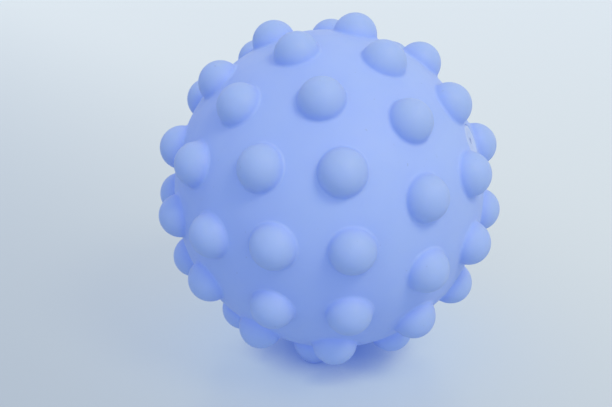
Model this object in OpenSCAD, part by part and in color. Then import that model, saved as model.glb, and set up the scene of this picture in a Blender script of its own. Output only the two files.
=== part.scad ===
// Soft hollow sensory ball with round bumps in rows and a squeaker pressed into its moulding port.
// Millimetres. +Z is up, and the origin is on the floor, straight below the centre of the body.
// The ball lies on three bumps, with its mould axis level to within a few degrees.

/* [Body] */
// Diameter of the body at the parting line, without the bumps
ball_d = 70; // [60:1:84]
// Length of the body along the mould axis, as a share of its diameter
ball_ratio = 0.963; // [0.95:0.001:0.99]
// Thickness of the soft wall
wall = 2.2; // [1.6:0.1:2.8]
// Turn of the mould axis about the upright
heading = 19.5; // [0:0.5:45]

/* [Bumps] */
// Diameter of the round dome on each bump
bump_d = 9.4; // [8.6:0.1:10]
// Depth of the dome's centre under the body's surface
bump_sink = 0.4; // [0.2:0.05:0.6]
// Radius of the hollow fillet round the foot of each bump
foot_r = 0.8; // [0.6:0.1:1.1]
// Overlap of the fillet with the dome and with the body, so that it meets both at a clear angle
foot_bite = 0.06; // [0.04:0.01:0.1]

/* [Rows] */
// Angle between a pole and the first row, and from each row to the next
row_angle = 24.9; // [24.4:0.1:25.2]
// Bumps in the row next to each pole
row_1_count = 6; // [5:1:6]
// Bumps in the middle row of each half
row_2_count = 11; // [9:1:11]
// Bumps in the row next to the parting line
row_3_count = 14; // [12:1:14]
// Turn of the first row of the near half, from straight up
near_1_angle = 31.8; // [0:0.1:60]
// Turn of the middle row of the near half, from straight up
near_2_angle = 10.1; // [0:0.1:32]
// Turn of the first row of the far half, from straight up
far_1_angle = 7.1; // [0:0.1:60]
// Turn of the middle row of the far half, from straight up
far_2_angle = 25.2; // [0:0.1:32]

/* [Moulding port] */
// Angle of the port from the far pole
port_polar = 40; // [39.5:0.1:40.5]
// Turn of the port about the mould axis, from straight up
port_angle = 303.4; // [303:0.1:304]
// Length of the port's inner neck, from the body's surface
neck_len = 5; // [4.4:0.1:6]
// Thickness of the neck's wall
neck_wall = 1.5; // [1:0.1:1.8]

/* [Squeaker] */
// Diameter of the case's flange, which shows on the ball
flange_d = 7; // [6.4:0.1:7.2]
// Thickness of the flange
flange_t = 0.8; // [0.6:0.05:1]
// Outer diameter of the case's barrel
barrel_d = 5.6; // [5.2:0.1:5.8]
// Thickness of the barrel's wall in front of the core's plug
barrel_wall = 0.7; // [0.6:0.05:0.8]
// Length of the barrel under the flange
barrel_len = 7.6; // [7:0.1:8.4]
// Diameter of the sound hole in the flange
vent_d = 1.4; // [1:0.1:1.8]
// Rise of the barb that holds the case behind the neck
barb_rise = 0.35; // [0.2:0.05:0.45]
// Length of the barb's ramp
barb_len = 1; // [0.8:0.1:1.2]
// Length of the core's plug
plug_len = 1.4; // [1.2:0.1:1.6]
// Depth of the step that the core's plug seats on
plug_step = 0.3; // [0.2:0.05:0.35]
// Width of the air channel in the core
channel_w = 1.3; // [1:0.1:1.5]
// Depth of the air channel under the reed
channel_deep = 0.9; // [0.7:0.1:1]

/* [Reed] */
// Length of the reed from its pivot bead to its tip
reed_len = 3.6; // [3.2:0.1:3.8]
// Width of the reed
reed_w = 2.2; // [1.8:0.1:2.4]
// Thickness of the reed
reed_t = 0.2; // [0.15:0.01:0.25]
// Diameter of the bead at the reed's root
bead_d = 0.6; // [0.5:0.05:0.7]
// Height of the reed's middle over the core's flat, at rest
reed_gap = 0.42; // [0.4:0.01:0.48]
// Opening of the keeper's mouth beyond the reed, on each side
mouth_gap = 0.14; // [0.12:0.01:0.16]
// Thickness of the keeper over the bead, and of the tongue past the reed's tip
keeper_wall = 0.25; // [0.2:0.01:0.3]
// Height of the air inlet in the plug over the core's flat
inlet_rise = 0.25; // [0.2:0.01:0.3]

/* [Fits] */
// Clearance on the radius between the port and the case
port_clear = 0.05; // [0.02:0.01:0.1]
// Clearance on the radius between the case's barrel and the core
core_clear = 0.05; // [0.02:0.01:0.08]
// Running clearance on the radius between the reed's bead and its groove
bead_clear = 0.03; // [0.02:0.01:0.05]

/* [Hidden] */
$fn = 40;

NEAR = 1;
FAR = -1;
// Turn of straight down about the mould axis
DOWN = 180;
// Each half of the body is a cap of a sphere whose centre lies past the parting line
ball_r = ball_d / 2;
cap_r = ball_r * (1 / ball_ratio + ball_ratio) / 2;
cap_shift = ball_r * (1 / ball_ratio - ball_ratio) / 2;

// Bumps: the fillet's centre touches the dome and the body, less the bite
bump_r = bump_d / 2;
dome_z = -bump_sink;
reach = bump_r + foot_r - foot_bite;
hover = cap_r + foot_r - foot_bite;
dome_c = cap_r - bump_sink;
// Height of the fillet's centre along the bump's axis, from the middle of the cap's sphere
foot_c = (hover * hover + dome_c * dome_c - reach * reach) / (2 * dome_c);
foot_x = sqrt(hover * hover - foot_c * foot_c);
foot_z = foot_c - cap_r;
bump_root = wall / 2;
// Top of the skirt that the fillet is cut from, inside the dome
skirt_z = foot_z - foot_bite;

// Rest: one bump of the far row and two of the near row next to the parting line stand on the floor
row_3_polar = 3 * row_angle;
row_3_r = dome_c * sin(row_3_polar);
row_3_z = dome_c * cos(row_3_polar) - cap_shift;
half_step = 180 / row_3_count;
lean = atan2(row_3_r * (1 - cos(half_step)), 2 * row_3_z);
rest_h = row_3_r * cos(lean) - row_3_z * sin(lean) + bump_r;

// Squeaker heights along the port's axis, from the body's surface
flange_r = flange_d / 2;
recess_r = flange_r + port_clear;
face_z = sqrt(cap_r * cap_r - flange_r * flange_r) - cap_r;
seat_z = face_z - flange_t;
barrel_r = barrel_d / 2;
port_r = barrel_r + port_clear;
bore_r = barrel_r - barrel_wall;
end_z = seat_z - barrel_len;
step_z = end_z + plug_len;
step_r = bore_r + plug_step;
plug_r = step_r - core_clear;
tongue_r = bore_r - core_clear;
barb_z = -neck_len;
bead_r = bead_d / 2;
groove_r = bead_r + bead_clear;
// The keeper is a hook that holds the bead against the plug
pivot_z = step_z + groove_r;
keeper_z = pivot_z + groove_r;
keeper_top = reed_gap + groove_r + keeper_wall;
tip_z = pivot_z + reed_len;
tongue_z = tip_z + keeper_wall;
channel_z = tip_z - reed_t;
past = 1;

// Places children on the rest floor, from the mould's own axes: +Z to the near pole, +X up
module at_rest()
  translate([0, 0, rest_h]) rotate([0, 0, heading]) rotate([0, -90 - lean, 0]) children();

// Places children on a cap's surface, with +Z straight out
module on_cap(half, polar, turn)
  translate([0, 0, -half * cap_shift])
    rotate([0, half == NEAR ? polar : 180 - polar, turn])
      translate([0, 0, cap_r]) children();

// One child at each bump of the ball
module each_bump() {
  for (half = [NEAR, FAR]) {
    start_1 = half == NEAR ? near_1_angle : far_1_angle;
    start_2 = half == NEAR ? near_2_angle : far_2_angle;
    start_3 = half == NEAR ? DOWN + half_step : DOWN;
    on_cap(half, 0, 0) children();
    for (i = [0 : row_1_count - 1])
      on_cap(half, row_angle, start_1 + i * 360 / row_1_count) children();
    for (i = [0 : row_2_count - 1])
      on_cap(half, 2 * row_angle, start_2 + i * 360 / row_2_count) children();
    for (i = [0 : row_3_count - 1])
      on_cap(half, row_3_polar, start_3 + i * 360 / row_3_count) children();
  }
}

// The body's round form, drawn in by a depth on every side
module lens(deep)
  intersection() {
    translate([0, 0, -cap_shift]) sphere(cap_r - deep);
    translate([0, 0, cap_shift]) sphere(cap_r - deep);
  }

// A bump: a round dome on a filleted foot that starts inside the wall
module bump()
  rotate_extrude()
    difference() {
      union() {
        intersection() {
          translate([0, dome_z]) circle(bump_r);
          translate([0, -bump_root]) square([bump_r + past, bump_root + bump_d]);
        }
        translate([0, -bump_root]) square([foot_x, bump_root + skirt_z]);
      }
      difference() {
        translate([foot_x, foot_z]) circle(foot_r);
        translate([0, dome_z]) circle(bump_r);
      }
    }

module in_port() at_rest() on_cap(FAR, port_polar, port_angle) children();

module ball_shell() color("cornflowerblue") {
  difference() {
    union() {
      at_rest() difference() {
        union() {
          lens(0);
          each_bump() bump();
        }
        lens(wall);
        each_bump() translate([0, 0, dome_z]) sphere(bump_r - wall);
      }
      in_port() translate([0, 0, -neck_len]) cylinder(r = port_r + neck_wall, h = neck_len - wall / 2);
    }
    in_port() {
      translate([0, 0, -neck_len - past]) cylinder(r = port_r, h = neck_len + 2 * past);
      translate([0, 0, seat_z]) cylinder(r = recess_r, h = past - seat_z);
    }
  }
}

module squeaker_case() color("lavender") in_port() {
  difference() {
    union() {
      translate([0, 0, seat_z]) cylinder(r = flange_r, h = flange_t);
      translate([0, 0, end_z]) cylinder(r = barrel_r, h = barrel_len + flange_t / 2);
      translate([0, 0, barb_z - barb_len])
        cylinder(r1 = barrel_r, r2 = barrel_r + barb_rise, h = barb_len);
    }
    translate([0, 0, end_z - past]) cylinder(r = bore_r, h = barrel_len + past);
    translate([0, 0, end_z - past]) cylinder(r = step_r, h = plug_len + past);
    translate([0, 0, seat_z - past]) cylinder(d = vent_d, h = flange_t + 2 * past);
  }
}

module squeaker_core() color("gainsboro") in_port() {
  difference() {
    union() {
      translate([0, 0, end_z]) cylinder(r = plug_r, h = plug_len);
      difference() {
        translate([0, 0, end_z]) cylinder(r = tongue_r, h = tongue_z - end_z);
        translate([-tongue_r - past, 0, keeper_z])
          cube([2 * (tongue_r + past), tongue_r + past, tongue_z - keeper_z + past]);
        translate([-tongue_r - past, keeper_top, step_z])
          cube([2 * (tongue_r + past), tongue_r + past, tongue_z - step_z + past]);
      }
    }
    translate([-channel_w / 2, -channel_deep, end_z - past])
      cube([channel_w, channel_deep + inlet_rise, channel_z - end_z + past]);
    translate([-plug_r - past, reed_gap, pivot_z]) rotate([0, 90, 0])
      cylinder(r = groove_r, h = 2 * (plug_r + past));
    translate([-plug_r - past, reed_gap - reed_t / 2 - mouth_gap, pivot_z])
      cube([2 * (plug_r + past), reed_t + 2 * mouth_gap, groove_r + past]);
  }
}

module squeaker_reed() color("lightsteelblue") in_port() {
  translate([-reed_w / 2, reed_gap, pivot_z]) rotate([0, 90, 0]) cylinder(r = bead_r, h = reed_w);
  translate([-reed_w / 2, reed_gap - reed_t / 2, pivot_z]) cube([reed_w, reed_t, reed_len]);
}

ball_shell();
squeaker_case();
squeaker_core();
squeaker_reed();
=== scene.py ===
"""Soft vinyl sensory ball: its skin with filleted bumps, squeaker, floor, light and camera."""

import math

import bpy
import numpy as np
from mathutils import Matrix, Vector
from mathutils.bvhtree import BVHTree


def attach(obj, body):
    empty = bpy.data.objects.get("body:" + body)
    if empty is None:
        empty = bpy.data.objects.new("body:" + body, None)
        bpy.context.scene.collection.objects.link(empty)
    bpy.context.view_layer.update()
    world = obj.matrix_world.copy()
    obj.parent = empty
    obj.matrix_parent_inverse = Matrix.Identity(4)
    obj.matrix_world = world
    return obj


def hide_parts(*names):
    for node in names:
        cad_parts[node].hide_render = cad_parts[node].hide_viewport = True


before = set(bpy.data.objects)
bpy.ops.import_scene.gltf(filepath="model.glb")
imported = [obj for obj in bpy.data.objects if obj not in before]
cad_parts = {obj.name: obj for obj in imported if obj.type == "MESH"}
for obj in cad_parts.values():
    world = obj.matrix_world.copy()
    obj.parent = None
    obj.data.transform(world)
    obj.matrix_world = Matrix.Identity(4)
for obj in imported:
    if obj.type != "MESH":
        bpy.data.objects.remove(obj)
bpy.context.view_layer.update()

MM = 0.001

# The source's own values, in millimetres and degrees
BALL_R, BALL_ROUND, WALL, HEADING = 35.0, 0.963, 2.2, 19.5
BUMP_R, BUMP_SINK, FOOT_R = 4.7, 0.4, 0.8
ROW_STEP = 24.9
ROW_COUNTS = (6, 11, 14)
NEAR_TURNS, FAR_TURNS = (31.8, 10.1), (7.1, 25.2)
PORT_POLAR, PORT_TURN = 40.0, 303.4
NECK_LEN, NECK_WALL = 5.0, 1.5
FLANGE_R, FLANGE_T, BARREL_R, BARREL_WALL, BARREL_LEN = 3.5, 0.8, 2.8, 0.7, 7.6
VENT_R, BARB_RISE, BARB_LEN, PLUG_LEN, PLUG_STEP = 0.7, 0.35, 1.0, 1.4, 0.3
PORT_CLEAR = 0.05

CAP_R = BALL_R * (1 / BALL_ROUND + BALL_ROUND) / 2
CAP_SHIFT = BALL_R * (1 / BALL_ROUND - BALL_ROUND) / 2
DOME_C = CAP_R - BUMP_SINK
FLANGE_FACE = math.sqrt(CAP_R**2 - FLANGE_R**2) - CAP_R
FLANGE_SEAT = FLANGE_FACE - FLANGE_T
NEAR, FAR = 1, -1


def rot_y(deg):
    c, s = math.cos(math.radians(deg)), math.sin(math.radians(deg))
    return np.array([[c, 0, s], [0, 1, 0], [-s, 0, c]])


def rot_z(deg):
    c, s = math.cos(math.radians(deg)), math.sin(math.radians(deg))
    return np.array([[c, -s, 0], [s, c, 0], [0, 0, 1]])


# How the ball lies: on three bumps of the rows next to the parting line
HALF_STEP = 180 / ROW_COUNTS[2]
ROW_3_R = DOME_C * math.sin(math.radians(3 * ROW_STEP))
ROW_3_Z = DOME_C * math.cos(math.radians(3 * ROW_STEP)) - CAP_SHIFT
LEAN = math.degrees(math.atan2(ROW_3_R * (1 - math.cos(math.radians(HALF_STEP))), 2 * ROW_3_Z))
REST_H = ROW_3_R * math.cos(math.radians(LEAN)) - ROW_3_Z * math.sin(math.radians(LEAN)) + BUMP_R
REST = rot_z(HEADING) @ rot_y(-90 - LEAN)


def cap_turn(half, polar, turn):
    """Turn of a place on a cap, in the mould's axes: its third column points straight out."""
    return rot_z(turn) @ rot_y(polar if half == NEAR else 180 - polar)


def cap_centre(half):
    return np.array([0, 0, -half * CAP_SHIFT])


def to_world(points):
    """From the mould's axes in millimetres to the frame in metres."""
    return (points @ REST.T + [0, 0, REST_H]) * MM


def bump_places():
    """Half and outward direction of each bump."""
    for half, turns in ((NEAR, NEAR_TURNS), (FAR, FAR_TURNS)):
        starts = (*turns, 180 + (HALF_STEP if half == NEAR else 0))
        yield half, cap_turn(half, 0, 0)[:, 2]
        for row, (count, start) in enumerate(zip(ROW_COUNTS, starts), 1):
            for i in range(count):
                yield half, cap_turn(half, row * ROW_STEP, start + i * 360 / count)[:, 2]


BUMPS = list(bump_places())


def geodesic(times):
    """Points and outward triangles of an even ball of radius 1."""
    t = (1 + 5**0.5) / 2
    v = [(-1, t, 0), (1, t, 0), (-1, -t, 0), (1, -t, 0), (0, -1, t), (0, 1, t)]
    v += [(0, -1, -t), (0, 1, -t), (t, 0, -1), (t, 0, 1), (-t, 0, -1), (-t, 0, 1)]
    v = np.array(v, float)
    v /= np.linalg.norm(v, axis=1)[:, None]
    near = np.linalg.norm(v[:, None] - v[None], axis=2)
    slack = 1.01
    edge = near[near > 0].min() * slack
    f = []
    for a in range(len(v)):
        for b in range(a + 1, len(v)):
            for c in range(b + 1, len(v)):
                if max(near[a, b], near[b, c], near[a, c]) < edge:
                    out = np.dot(np.cross(v[b] - v[a], v[c] - v[a]), v[a]) > 0
                    f.append((a, b, c) if out else (a, c, b))
    f = np.array(f)
    for _ in range(times):
        pairs = np.sort(np.concatenate([f[:, [0, 1]], f[:, [1, 2]], f[:, [2, 0]]]), axis=1)
        pairs, back = np.unique(pairs, axis=0, return_inverse=True)
        back = back.reshape(-1) + len(v)
        mid = v[pairs[:, 0]] + v[pairs[:, 1]]
        mid /= np.linalg.norm(mid, axis=1)[:, None]
        ab, bc, ca = np.split(back, 3)
        a, b, c = f.T
        quarters = [np.c_[a, ab, ca], np.c_[ab, b, bc], np.c_[ca, bc, c], np.c_[ab, bc, ca]]
        f = np.concatenate(quarters)
        v = np.concatenate([v, mid])
    return v, f


CREASE = 0.06


def lens(directions, deep):
    """Points of the body's two caps, drawn in by a depth, with a soft crease between them."""
    dz = directions[:, 2]
    r = CAP_R - deep
    shift = CAP_SHIFT * np.sqrt(dz * dz + CREASE * CREASE)
    reach = np.sqrt(r * r - CAP_SHIFT**2 * (1 - dz * dz)) - shift
    return directions * reach[:, None]


def raise_rounds(points, sphere_r, profile):
    """Moves the points round each bump's axis onto the bump's own profile."""
    out = points.copy()
    for i, (half, axis) in enumerate(BUMPS):
        q = points - cap_centre(half)
        length = np.linalg.norm(q, axis=1)
        along = q @ axis
        angle = np.arccos(np.clip(along / length, -1, 1))
        rim, curve = profile(i)
        inside = angle < rim
        q, length, along, angle = q[inside], length[inside], along[inside], angle[inside]
        side = q - along[:, None] * axis
        side /= np.maximum(np.linalg.norm(side, axis=1), 1e-9)[:, None]
        r, h = curve(angle / rim)
        moved = h[:, None] * axis + r[:, None] * side
        out[inside] = cap_centre(half) + moved * (length / sphere_r)[:, None]
    return out


SEED = 11
rng = np.random.default_rng(SEED)
DOME_VARIES, DOME_MOST = 0.006, 1.5
dome_scale = 1 + DOME_VARIES * np.clip(rng.standard_normal(len(BUMPS)), -DOME_MOST, DOME_MOST)
DOME_SHARE = 0.62


def outer_profile(i):
    """A dome with a hollow fillet at its foot: rim angle, and radius and height by share of it."""
    dome = BUMP_R * dome_scale[i]
    hover, reach = CAP_R + FOOT_R, dome + FOOT_R
    foot_c = (hover**2 + DOME_C**2 - reach**2) / (2 * DOME_C)
    foot_x = math.sqrt(hover**2 - foot_c**2)
    rim, dome_end = math.atan2(foot_x, foot_c), math.atan2(foot_x, foot_c - DOME_C)

    def curve(u):
        on_dome = u < DOME_SHARE
        a = u / DOME_SHARE * dome_end
        b = dome_end + (u - DOME_SHARE) / (1 - DOME_SHARE) * (rim - dome_end)
        r = np.where(on_dome, dome * np.sin(a), foot_x - FOOT_R * np.sin(b))
        h = np.where(on_dome, DOME_C + dome * np.cos(a), foot_c - FOOT_R * np.cos(b))
        return r, h

    return rim, curve


def inner_profile(_):
    """The round hollow behind a bump, whose mouth is narrower than itself."""
    hollow, body = BUMP_R - WALL, CAP_R - WALL
    mouth_h = (body**2 + DOME_C**2 - hollow**2) / (2 * DOME_C)
    mouth_r = math.sqrt(body**2 - mouth_h**2)
    end = math.atan2(mouth_r, mouth_h - DOME_C)

    def curve(u):
        return hollow * np.sin(u * end), DOME_C + hollow * np.cos(u * end)

    return math.atan2(mouth_r, mouth_h), curve


WAVES, WAVE_HEIGHT, WAVE_LONG, WAVE_SHORT = 10, 0.016, 26.0, 9.0


def swell(points):
    """The slight waviness of a soft cast wall, along the outward direction."""
    d = np.zeros(len(points))
    for _ in range(WAVES):
        k = rng.standard_normal(3)
        k *= 2 * math.pi / rng.uniform(WAVE_SHORT, WAVE_LONG) / np.linalg.norm(k)
        d += WAVE_HEIGHT * np.sin(points @ k + rng.uniform(0, 2 * math.pi))
    return points * (1 + d / np.linalg.norm(points, axis=1))[:, None]


# The moulding port's own axes: +Z straight out of the body's surface
PORT = cap_turn(FAR, PORT_POLAR, PORT_TURN)
PORT_AT = cap_centre(FAR) + CAP_R * PORT[:, 2]


def in_port(points):
    return (points - PORT_AT) @ PORT


def from_port(points):
    return np.asarray(points) @ PORT.T + PORT_AT


def edges(faces):
    return np.concatenate([faces[:, [0, 1]], faces[:, [1, 2]], faces[:, [2, 0]]])


PORT_SIDE = -10.0


def cut_round(points, faces, radius):
    """Drops the faces round the port's axis, and gives the edge of the hole in order."""
    p = in_port(points)
    gone = (np.hypot(p[:, 0], p[:, 1]) < radius) & (p[:, 2] > PORT_SIDE)
    kept = faces[~gone[faces].any(axis=1)]
    pairs = edges(kept)
    key = pairs[:, 0] * len(points) + pairs[:, 1]
    back = pairs[:, 1] * len(points) + pairs[:, 0]
    step = dict(pairs[~np.isin(back, key)].tolist())
    loop = [min(step)]
    while step[loop[-1]] != loop[0]:
        loop.append(step[loop[-1]])
    return kept, loop


def zip_rings(points, a, b):
    """Triangles between two closed rings of points round the port's axis."""
    p = in_port(points)
    turn = np.arctan2(p[:, 1], p[:, 0])

    def ahead(i, j):
        return math.remainder(turn[j] - turn[i], 2 * math.pi)

    def unrolled(ring):
        if sum(ahead(ring[i - 1], ring[i]) for i in range(len(ring))) < 0:
            ring = ring[::-1]
        first = min(range(len(ring)), key=lambda i: abs(turn[ring[i]]))
        ring = [*ring[first:], *ring[:first]]
        at = [turn[ring[0]]]
        for i, j in zip(ring, [*ring[1:], ring[0]]):
            at.append(at[-1] + ahead(i, j))
        return [*ring, ring[0]], at

    (a, at_a), (b, at_b) = unrolled(a), unrolled(b)
    i = j = 0
    made = []
    while i < len(a) - 1 or j < len(b) - 1:
        if j == len(b) - 1 or (i < len(a) - 1 and at_a[i + 1] <= at_b[j + 1]):
            made.append((a[i], b[j], a[i + 1]))
            i += 1
        else:
            made.append((a[i], b[j], b[j + 1]))
            j += 1
    return np.array(made)


# Fineness of the skin, and the radii and roundings of the patch round the port
OUTER_TIMES, INNER_TIMES, PORT_COUNT = 7, 6, 96
LIP, ROOT = 0.3, 0.7
OUTER_CUT, OUTER_RINGS = 4.45, (4.3, 4.05)
INNER_CUT, INNER_RING = 5.5, 5.3
RAY_HEIGHT = 4.0
QUARTER = np.radians([0, 22.5, 45, 67.5, 90])


def ball_skin():
    """The hollow skin: bumps outside, their hollows inside, and the neck that holds the squeaker."""
    ways, outer_faces = geodesic(OUTER_TIMES)
    outer = swell(raise_rounds(lens(ways, 0), CAP_R, outer_profile))
    ways, inner_faces = geodesic(INNER_TIMES)
    inner = raise_rounds(lens(ways, WALL), CAP_R - WALL, inner_profile)
    recess_r, port_r = FLANGE_R + PORT_CLEAR, BARREL_R + PORT_CLEAR
    neck_r, lip_r = port_r + NECK_WALL, recess_r + LIP
    round_port = np.linspace(0, 2 * math.pi, PORT_COUNT, endpoint=False)
    tree = BVHTree.FromPolygons(outer.tolist(), outer_faces.tolist())

    def ring(r, z):
        return np.c_[r * np.cos(round_port), r * np.sin(round_port), np.broadcast_to(z, PORT_COUNT)]

    def surface_z(r):
        starts = from_port(ring(r, RAY_HEIGHT))
        hits = [tree.ray_cast(Vector(s), Vector(-PORT[:, 2]))[0] for s in starts]
        return in_port(np.array(hits))[:, 2]

    def inside_z(r):
        return math.sqrt((CAP_R - WALL) ** 2 - r * r) - CAP_R

    rings = [ring(r, surface_z(r)) for r in OUTER_RINGS]
    lip_z, root_z = surface_z(lip_r), inside_z(neck_r + ROOT)
    for a in QUARTER:
        rings.append(ring(lip_r - LIP * math.sin(a), lip_z - LIP * (1 - math.cos(a))))
    rings += [ring(recess_r, FLANGE_SEAT), ring(port_r, FLANGE_SEAT)]
    rings += [ring(port_r, -NECK_LEN), ring(neck_r, -NECK_LEN)]
    for a in QUARTER:
        rings.append(ring(neck_r + ROOT * (1 - math.cos(a)), root_z - ROOT * (1 - math.sin(a))))
    rings.append(ring(INNER_RING, inside_z(INNER_RING)))

    outer_faces, outer_loop = cut_round(outer, outer_faces, OUTER_CUT)
    inner_faces, inner_loop = cut_round(inner, inner_faces, INNER_CUT)
    points = np.concatenate([outer, inner, *[from_port(r) for r in rings]])
    first = len(outer) + len(inner)
    inner_faces = inner_faces[:, ::-1] + len(outer)
    inner_loop = [i + len(outer) for i in inner_loop]
    neck = []
    for k in range(len(rings) - 1):
        for i in range(PORT_COUNT):
            a, b = first + k * PORT_COUNT + i, first + k * PORT_COUNT + (i + 1) % PORT_COUNT
            neck += [(a, b, b + PORT_COUNT), (a, b + PORT_COUNT, a + PORT_COUNT)]
    top = list(range(first, first + PORT_COUNT))
    bottom = list(range(len(points) - PORT_COUNT, len(points)))
    join_outer = zip_rings(points, outer_loop, top)
    join_inner = zip_rings(points, bottom, inner_loop)
    return points, [outer_faces, join_outer, np.array(neck), join_inner, inner_faces]


def closed(points, patches):
    """One closed mesh from patches, each turned to match the ones before it."""
    seen, done = set(), []
    for patch in patches:
        if seen & set(map(tuple, edges(patch).tolist())):
            patch = patch[:, ::-1]
        seen |= set(map(tuple, edges(patch).tolist()))
        done.append(patch)
    faces = np.concatenate(done)
    used, faces = np.unique(faces, return_inverse=True)
    return points[used], faces.reshape(-1, 3)


def mesh_piece(name, points, faces, body, material, sharp):
    """A smooth mesh piece from points in metres, on a body, in a finish."""
    mesh = bpy.data.meshes.new(name)
    mesh.from_pydata(points.tolist(), [], faces.tolist())
    mesh.polygons.foreach_set("use_smooth", np.ones(len(mesh.polygons), bool))
    mesh.set_sharp_from_angle(angle=math.radians(sharp))
    mesh.materials.append(material)
    piece = bpy.data.objects.new(name, mesh)
    bpy.context.scene.collection.objects.link(piece)
    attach(piece, body)
    return piece


def lathe(profile, count):
    """Points and faces of a closed profile of (radius, height) turned round the port's axis."""
    turns = np.linspace(0, 2 * math.pi, count, endpoint=False)
    rows = [np.c_[r * np.cos(turns), r * np.sin(turns), np.full(count, z)] for r, z in profile]
    n = len(profile)
    faces = []
    for k in range(n):
        for i in range(count):
            j, m = (i + 1) % count, (k + 1) % n
            faces.append((m * count + i, m * count + j, k * count + j, k * count + i))
    return np.concatenate(rows), np.array(faces)


# Materials


class Nodes:
    """A short way to build a node material."""

    def __init__(self, name):
        self.material = bpy.data.materials.new(name)
        self.material.use_nodes = True
        self.tree = self.material.node_tree
        self.shader = self.tree.nodes["Principled BSDF"]
        self.place = self.add("ShaderNodeTexCoord").outputs["Object"]

    def add(self, kind, settings=None, **inputs):
        n = self.tree.nodes.new(kind)
        for k, v in (settings or {}).items():
            setattr(n, k, v)
        for k, v in inputs.items():
            self.set(n.inputs[k.replace("_", " ")], v)
        return n

    def set(self, socket, value):
        if isinstance(value, bpy.types.NodeSocket):
            self.tree.links.new(value, socket)
        else:
            socket.default_value = value

    def noise(self, scale, detail, rough=0.5):
        n = self.add("ShaderNodeTexNoise", Scale=scale, Detail=detail, Roughness=rough)
        self.set(n.inputs["Vector"], self.place)
        return n.outputs["Fac"]

    def spread(self, value, low, high, to_low=0.0, to_high=1.0):
        n = self.add("ShaderNodeMapRange", {"interpolation_type": "SMOOTHSTEP"})
        names = ("Value", "From Min", "From Max", "To Min", "To Max")
        for k, v in zip(names, (value, low, high, to_low, to_high)):
            self.set(n.inputs[k], v)
        return n.outputs["Result"]

    def times(self, a, b):
        n = self.add("ShaderNodeMath", {"operation": "MULTIPLY"})
        self.set(n.inputs[0], a)
        self.set(n.inputs[1], b)
        return n.outputs[0]

    def blend(self, share, a, b):
        n = self.add("ShaderNodeMix", {"data_type": "RGBA"})
        self.set(n.inputs["Factor"], share)
        self.set(n.inputs["A"], a)
        self.set(n.inputs["B"], b)
        return n.outputs["Result"]

    def bump(self, height, strength, distance):
        n = self.add("ShaderNodeBump", Strength=strength, Distance=distance)
        self.set(n.inputs["Height"], height)
        self.set(self.shader.inputs["Normal"], n.outputs["Normal"])

    def finish(self, **inputs):
        for k, v in inputs.items():
            self.set(self.shader.inputs[k.replace("_", " ")], v)
        return self.material


def rgb(r, g, b):
    """A colour as it looks on a screen, from 0 to 255, in the linear form that nodes take."""
    shares = (r / 255, g / 255, b / 255)
    linear = [c / 12.92 if c <= 0.04045 else ((c + 0.055) / 1.055) ** 2.4 for c in shares]
    return (*linear, 1.0)


# The last of these colours is a painted shade: deeper blue for the creases round the feet of the
# bumps.
VINYL, VINYL_DEEP, VINYL_CREASE_SHADE = rgb(158, 185, 249), rgb(154, 181, 248), rgb(140, 170, 250)
# The first of these colours is the paler, greyer tone of the bump tops; the second is dust.
VINYL_PALE_TOP, DUST = rgb(155, 182, 239), rgb(134, 152, 202)
# Noise scales per metre: clouds in the colour, paler patches on the tops, dust, gloss and the
# powdery grain
CLOUDS, TOP_PATCHES, DUST_GRAINS, GLOSS, GRAIN = 55, 240, 1300, 420, 2600
# Spans of a noise's values over which a tone sets in
NOISE_MID, NOISE_WIDE, NOISE_PEAKS = (0.35, 0.65), (0.3, 0.7), (0.76, 0.82)
# Heights over the body in millimetres between which the painted crease shade round the feet and the
# paler tops lie
FOOT_LOW, FOOT_MID, FOOT_HIGH, CREASE_SHADE_MOST = 0.03, 0.2, 1.8, 0.32
TOP_LOW, TOP_HIGH = 0.1, 2.8
TOP_PATCH_SHARE, DUST_MOST, VINYL_ROUGH = (0.6, 0.95), 0.35, (0.52, 0.64)


def soft_vinyl():
    """Painted crease shade in deeper blue round the feet of the bumps, and paler, greyer patches on
    their tops.
    """
    m = Nodes("soft_vinyl")
    colour = m.blend(m.spread(m.noise(CLOUDS, 3), *NOISE_MID), VINYL, VINYL_DEEP)
    rise = m.add("ShaderNodeMath", {"operation": "MAXIMUM"})
    for half, socket in zip((NEAR, FAR), rise.inputs):
        away = m.add("ShaderNodeVectorMath", {"operation": "DISTANCE"})
        m.set(away.inputs[0], m.place)
        m.set(away.inputs[1], to_world(cap_centre(half)))
        m.set(socket, away.outputs["Value"])

    def over(low, high, to_low=0.0, to_high=1.0):
        return m.spread(rise.outputs[0], (CAP_R + low) * MM, (CAP_R + high) * MM, to_low, to_high)

    # Painted shade: a deeper blue ring in the creases round the feet of the bumps.
    foot = m.times(over(FOOT_LOW, FOOT_MID), over(FOOT_MID, FOOT_HIGH, CREASE_SHADE_MOST, 0.0))
    colour = m.blend(foot, colour, VINYL_CREASE_SHADE)
    # Paler, greyer patches on the tops of the bumps, the more the higher over the body.
    pale_top = m.spread(m.noise(TOP_PATCHES, 4, 0.6), *NOISE_WIDE, *TOP_PATCH_SHARE)
    colour = m.blend(m.times(over(TOP_LOW, TOP_HIGH), pale_top), colour, VINYL_PALE_TOP)
    speck = m.times(m.spread(m.noise(DUST_GRAINS, 1), *NOISE_PEAKS), DUST_MOST)
    colour = m.blend(speck, colour, DUST)
    m.bump(m.noise(GRAIN, 3, 0.6), strength=0.12, distance=0.06 * MM)
    return m.finish(
        Base_Color=colour,
        Roughness=m.spread(m.noise(GLOSS, 3), *NOISE_WIDE, *VINYL_ROUGH),
        Specular_IOR_Level=0.3,
        Subsurface_Weight=0.12,
        Subsurface_Radius=(0.35, 0.55, 1.0),
        Subsurface_Scale=0.001,
        Sheen_Weight=0.05,
        Sheen_Roughness=0.6,
    )


# Noise scales per metre of the hard plastics: colour, gloss and grain
STREAKS, PLASTIC_GLOSS, PLASTIC_GRAIN = 420, 900, 3800
GLOSS_VARIES = 0.06


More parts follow.
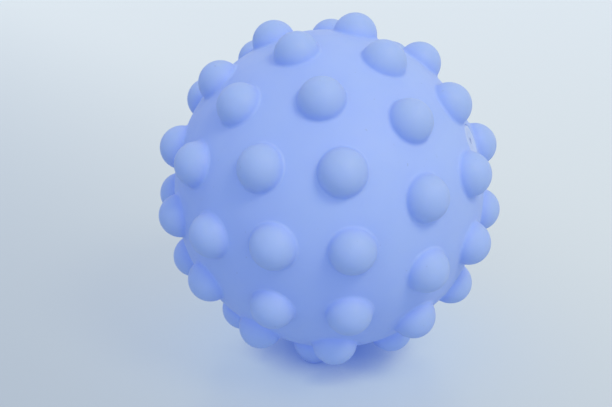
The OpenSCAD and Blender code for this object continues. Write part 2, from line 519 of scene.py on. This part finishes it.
def moulded_plastic(name, pale, deep, rough):
    m = Nodes(name)
    colour = m.blend(m.spread(m.noise(STREAKS, 3), *NOISE_MID), pale, deep)
    gloss = m.noise(PLASTIC_GLOSS, 2)
    m.bump(m.noise(PLASTIC_GRAIN, 2), strength=0.1, distance=0.03 * MM)
    return m.finish(
        Base_Color=colour,
        Roughness=m.spread(gloss, *NOISE_WIDE, rough - GLOSS_VARIES, rough + GLOSS_VARIES),
        Specular_IOR_Level=0.45,
    )


vinyl = soft_vinyl()
case_plastic = moulded_plastic("case_plastic", rgb(181, 201, 247), rgb(175, 196, 244), 0.5)
core_plastic = moulded_plastic("core_plastic", rgb(212, 216, 224), rgb(203, 208, 217), 0.42)
reed_film = moulded_plastic("reed_film", rgb(196, 208, 226), rgb(186, 200, 220), 0.3)


# The ball's skin, pressed a little flat where it lies on the floor
PRESSED, PRESS_FADE = 0.3 * MM, 1.6 * MM


def pressed(height):
    part = np.clip((height - PRESSED) / (PRESS_FADE - PRESSED), 0, 1)
    eased = PRESS_FADE * part * part * (3 - 2 * part)
    return np.where(height < PRESS_FADE, (eased + height * part) / 2, height)


skin_points, skin_faces = closed(*ball_skin())
skin_world = to_world(skin_points)
skin_world[:, 2] = pressed(skin_world[:, 2])
skin = mesh_piece("ball_skin", skin_world, skin_faces, "ball", vinyl, sharp=50)
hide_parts("ball_shell")


# The squeaker's case, with the rounded edges and the dished face of a moulding
DISH, DISH_R, VENT_EDGE, FLANGE_EDGE, CASE_COUNT = 0.1, 1.75, 0.1, 0.3, 72
# The soft rise from the dish to the flange's face: steps outward, and depths under the face
DISH_RISE = ((0.2, 0.03), (0.3, 0.0))


def squeaker_case():
    floor_z = FLANGE_FACE - DISH
    end = FLANGE_SEAT - BARREL_LEN
    bore = BARREL_R - BARREL_WALL
    seat_r = bore + PLUG_STEP
    profile = [(VENT_R, FLANGE_SEAT), (VENT_R, floor_z - VENT_EDGE)]
    profile += [(VENT_R + VENT_EDGE, floor_z), (DISH_R, floor_z)]
    profile += [(DISH_R + out, FLANGE_FACE - deep) for out, deep in DISH_RISE]
    for a in np.radians([0, 30, 60, 90]):
        short, deep = FLANGE_EDGE * (1 - math.sin(a)), FLANGE_EDGE * (1 - math.cos(a))
        profile.append((FLANGE_R - short, FLANGE_FACE - deep))
    profile += [(FLANGE_R, FLANGE_SEAT), (BARREL_R, FLANGE_SEAT), (BARREL_R, -NECK_LEN)]
    profile += [(BARREL_R + BARB_RISE, -NECK_LEN), (BARREL_R, -NECK_LEN - BARB_LEN)]
    profile += [(BARREL_R, end), (seat_r, end), (seat_r, end + PLUG_LEN)]
    profile += [(bore, end + PLUG_LEN), (bore, FLANGE_SEAT)]
    points, faces = lathe(profile, CASE_COUNT)
    return to_world(from_port(points)), faces


case_points, case_faces = squeaker_case()
case = mesh_piece(
    "squeaker_case_moulded", case_points, case_faces, "ball", case_plastic, sharp=35
)
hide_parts("squeaker_case")

for node, material in (("squeaker_core", core_plastic), ("squeaker_reed", reed_film)):
    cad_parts[node].data.materials.clear()
    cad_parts[node].data.materials.append(material)

# Floor with a painted glow: a painted light falloff, paler to the right and away; a painted blue
# reflection and soft shadow round the ball; and a painted contact shadow in the ball's blue where it
# touches
FLOOR_HALF = 6.0
FLOOR_WAY, FLOOR_DEEP_AT, FLOOR_PALE_AT = (0.6, 0.4, 0), -0.12, 0.10
# Reach and fade of the painted blue reflection and soft shadow round the ball.
NEAR_REACH, NEAR_FADE = 0.06, (0.3, 0.97)
# Reach, fade and blue of the painted contact shadow where the ball touches.
TOUCH_REACH, TOUCH_FADE, TOUCH_SHADOW_BLUE = 0.009, (0.1, 0.88), rgb(84, 118, 208)


def floor_material():
    m = Nodes("pale_floor")
    side = m.add("ShaderNodeVectorMath", {"operation": "DOT_PRODUCT"})
    m.set(side.inputs[0], m.place)
    m.set(side.inputs[1], FLOOR_WAY)
    # Painted light falloff: the glow and the base colour are paler to the right and away, and darker
    # to the left and near.
    pale = m.spread(side.outputs["Value"], FLOOR_DEEP_AT, FLOOR_PALE_AT)
    colour = m.blend(pale, rgb(162, 177, 196), rgb(217, 227, 235))
    dim = m.blend(pale, rgb(110, 120, 132), rgb(116, 124, 129))
    # Painted reflection round the ball: bluer near it, and darker on its left as a painted soft
    # shadow.
    near = m.blend(pale, rgb(175, 197, 226), rgb(202, 224, 252))

    def open_sky(reach):
        return m.add("ShaderNodeAmbientOcclusion", {"samples": 8}, Distance=reach).outputs["AO"]

    # Near the ball, the painted reflection and soft shadow take over the glow.
    glow = m.blend(m.spread(open_sky(NEAR_REACH), *NEAR_FADE), near, colour)
    # Painted contact shadow, in the ball's blue, where the ball touches the floor.
    glow = m.blend(m.spread(open_sky(TOUCH_REACH), *TOUCH_FADE), TOUCH_SHADOW_BLUE, glow)
    # The floor glows: its emission carries the painted falloff, reflection and shadows.
    return m.finish(
        Base_Color=dim,
        Roughness=0.3,
        Specular_IOR_Level=0.5,
        Emission_Color=glow,
        Emission_Strength=0.6,
    )


floor_mesh = bpy.data.meshes.new("floor")
corners = [(-1, -1), (1, -1), (1, 1), (-1, 1)]
floor_mesh.from_pydata([(x * FLOOR_HALF, y * FLOOR_HALF, 0) for x, y in corners], [], [(0, 1, 2, 3)])
floor_mesh.materials.append(floor_material())
floor = bpy.data.objects.new("floor", floor_mesh)
bpy.context.scene.collection.objects.link(floor)

# The key lamp: direction from the ball and colour, then distance and size in metres, and watts
KEY_WAY, KEY_COLOUR = Vector((0.45, -0.48, 0.75)), (1.0, 0.8, 0.36)
KEY_FAR, KEY_SIZE, KEY_WATTS = 0.6, 0.2, 1.4
CENTRE = Vector((0, 0, REST_H * MM))
lamp = bpy.data.lights.new("key", "AREA")
lamp.shape, lamp.size, lamp.energy, lamp.color = "DISK", KEY_SIZE, KEY_WATTS, KEY_COLOUR
key = bpy.data.objects.new("key", lamp)
key.location = CENTRE + KEY_WAY.normalized() * KEY_FAR
key.rotation_euler = KEY_WAY.to_track_quat("Z", "Y").to_euler()
bpy.context.scene.collection.objects.link(key)

SKY, SKY_LIGHT, BACKDROP = rgb(224, 235, 255), 0.59, rgb(220, 226, 230)
# Broad soft lobes of the sky: direction, strength, colour
LOBES = (((0, -1, 0), 0.66, (0.82, 0.88, 1, 1)), ((0, 1, 0.3), 0.45, (1, 0.97, 0.92, 1)))
world = bpy.data.worlds.new("studio")
world.use_nodes = True
bpy.context.scene.world = world
tree = world.node_tree


def join(a, b, kind, inputs):
    n = tree.nodes.new(kind)
    tree.links.new(a, n.inputs[inputs[0]])
    tree.links.new(b, n.inputs[inputs[1]])
    return n


back = tree.nodes["Background"]
back.inputs["Color"].default_value, back.inputs["Strength"].default_value = SKY, SKY_LIGHT
light = back.outputs[0]
sky_way = tree.nodes.new("ShaderNodeTexCoord").outputs["Generated"]
for way, strength, colour in LOBES:
    dot = tree.nodes.new("ShaderNodeVectorMath")
    dot.operation = "DOT_PRODUCT"
    tree.links.new(sky_way, dot.inputs[0])
    dot.inputs[1].default_value = Vector(way).normalized() * strength
    most = tree.nodes.new("ShaderNodeMath")
    most.operation = "MAXIMUM"
    tree.links.new(dot.outputs["Value"], most.inputs[0])
    most.inputs[1].default_value = 0
    lobe = tree.nodes.new("ShaderNodeBackground")
    lobe.inputs["Color"].default_value = colour
    tree.links.new(most.outputs[0], lobe.inputs["Strength"])
    light = join(light, lobe.outputs[0], "ShaderNodeAddShader", (0, 1)).outputs[0]
backdrop = tree.nodes.new("ShaderNodeBackground")
backdrop.inputs["Color"].default_value = BACKDROP
path = tree.nodes.new("ShaderNodeLightPath").outputs
direct = join(path["Is Camera Ray"], path["Is Glossy Ray"], "ShaderNodeMath", (0, 1))
direct.operation = "MAXIMUM"
mixer = join(light, backdrop.outputs[0], "ShaderNodeMixShader", (1, 2))
tree.links.new(direct.outputs[0], mixer.inputs[0])
tree.links.new(mixer.outputs[0], tree.nodes["World Output"].inputs["Surface"])

# Camera, at the photograph's angle: focal length and ball's centre in pixels, distance in metres
WIDTH, HEIGHT = 612, 407
FOCAL, DISTANCE = 927.1, 0.2061
CENTRE_X, CENTRE_Y = 328.06, 188.99
ELEVATION, AZIMUTH, ROLL = (math.radians(a) for a in (20.1, 0.11, -0.42))
SENSOR = 36.0
level = math.cos(ELEVATION)
backward = Vector((math.sin(AZIMUTH) * level, -math.cos(AZIMUTH) * level, math.sin(ELEVATION)))
right = Vector((math.cos(AZIMUTH), math.sin(AZIMUTH), 0))
up = backward.cross(right)
right, up = (
    right * math.cos(ROLL) + up * math.sin(ROLL),
    up * math.cos(ROLL) - right * math.sin(ROLL),
)
sight = Vector(((CENTRE_X - WIDTH / 2) / FOCAL, (HEIGHT / 2 - CENTRE_Y) / FOCAL, -1))
sight = sight.normalized() * DISTANCE
turn = Matrix((right, up, backward)).transposed()
camera_data = bpy.data.cameras.new("camera")
camera_data.sensor_width, camera_data.lens = SENSOR, FOCAL * SENSOR / WIDTH
camera_data.clip_start, camera_data.clip_end = 0.005, 50
camera = bpy.data.objects.new("camera", camera_data)
bpy.context.scene.collection.objects.link(camera)
camera.matrix_world = Matrix.Translation(CENTRE - turn @ sight) @ turn.to_4x4()
bpy.context.scene.camera = camera

bpy.context.scene.view_settings.view_transform = "Standard"
